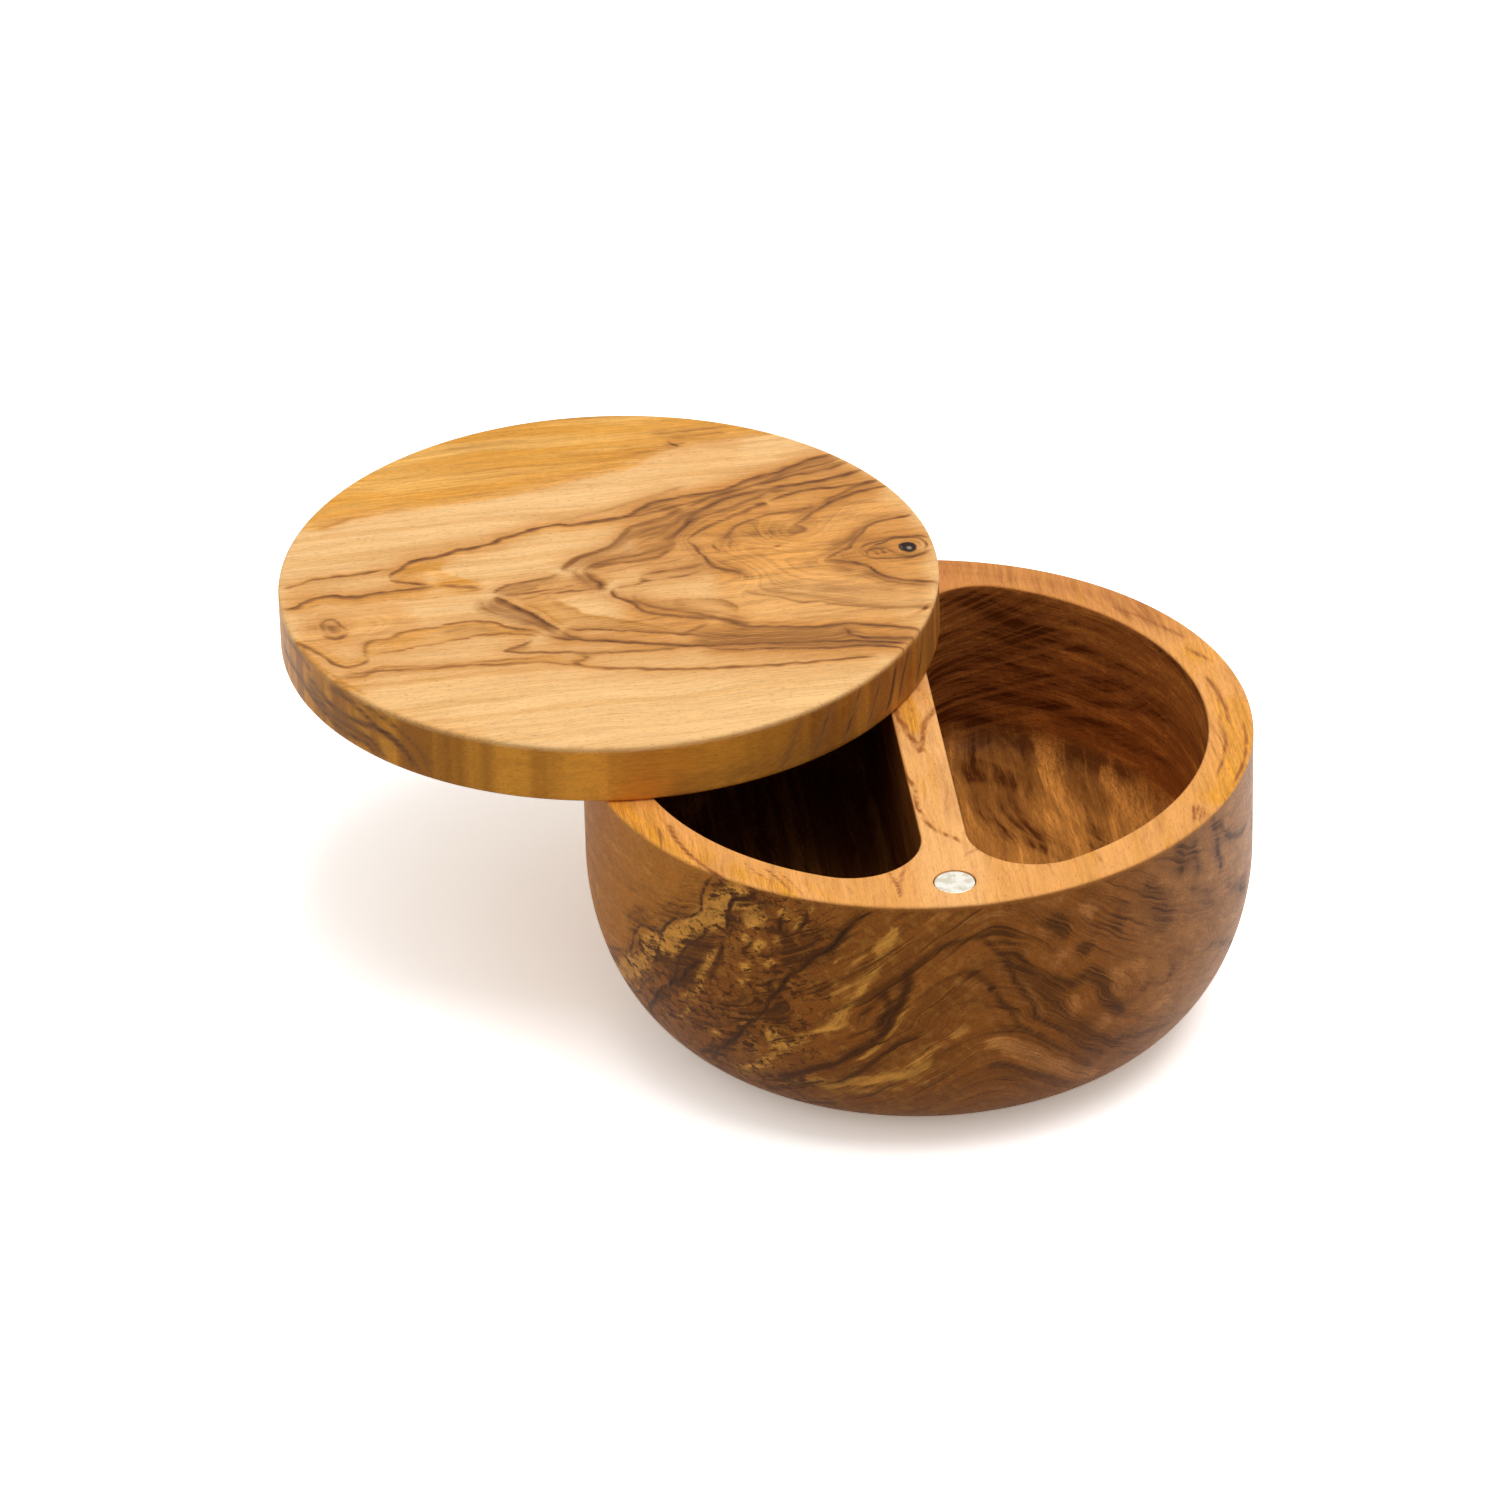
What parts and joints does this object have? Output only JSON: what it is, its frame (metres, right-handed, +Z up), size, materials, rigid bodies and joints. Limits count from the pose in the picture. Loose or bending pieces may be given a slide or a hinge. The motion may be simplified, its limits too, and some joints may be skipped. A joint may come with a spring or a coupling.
{
  "type": "salt box",
  "caption": "Round turned-wood salt box with two pockets and a flat disc lid that swivels aside on a rim pin and shuts on a magnet.",
  "frame": {"origin": "centre of the bowl's flat foot, on the surface it stands on", "axes": "+Z up; -Y is the front, where the rim magnet is; +Y is the back, where the lid's pin is; the lid at rest stands open towards -X and +Y"},
  "size_m": [0.1897, 0.1793, 0.0733],
  "materials": {
    "bowl_wood": "satin",
    "lid_wood": "satin",
    "pin_steel": "satin",
    "magnet_nickel": "satin",
    "glue": "gloss"
  },
  "bodies": {
    "bowl": {"bowl": "bowl_wood", "pivot_pin": "pin_steel", "bowl_magnet": "magnet_nickel", "bowl_magnet_glue": "glue"},
    "lid": {"lid": "lid_wood", "lid_magnet": "magnet_nickel", "lid_magnet_glue": "glue"}
  },
  "joints": [
    {"name": "lid_swing", "type": "hinge", "parent": "bowl", "child": "lid", "pos_m": [0, 0.05785, 0.0605], "axis": [0, 0, -1], "continuous": true}
  ]
}
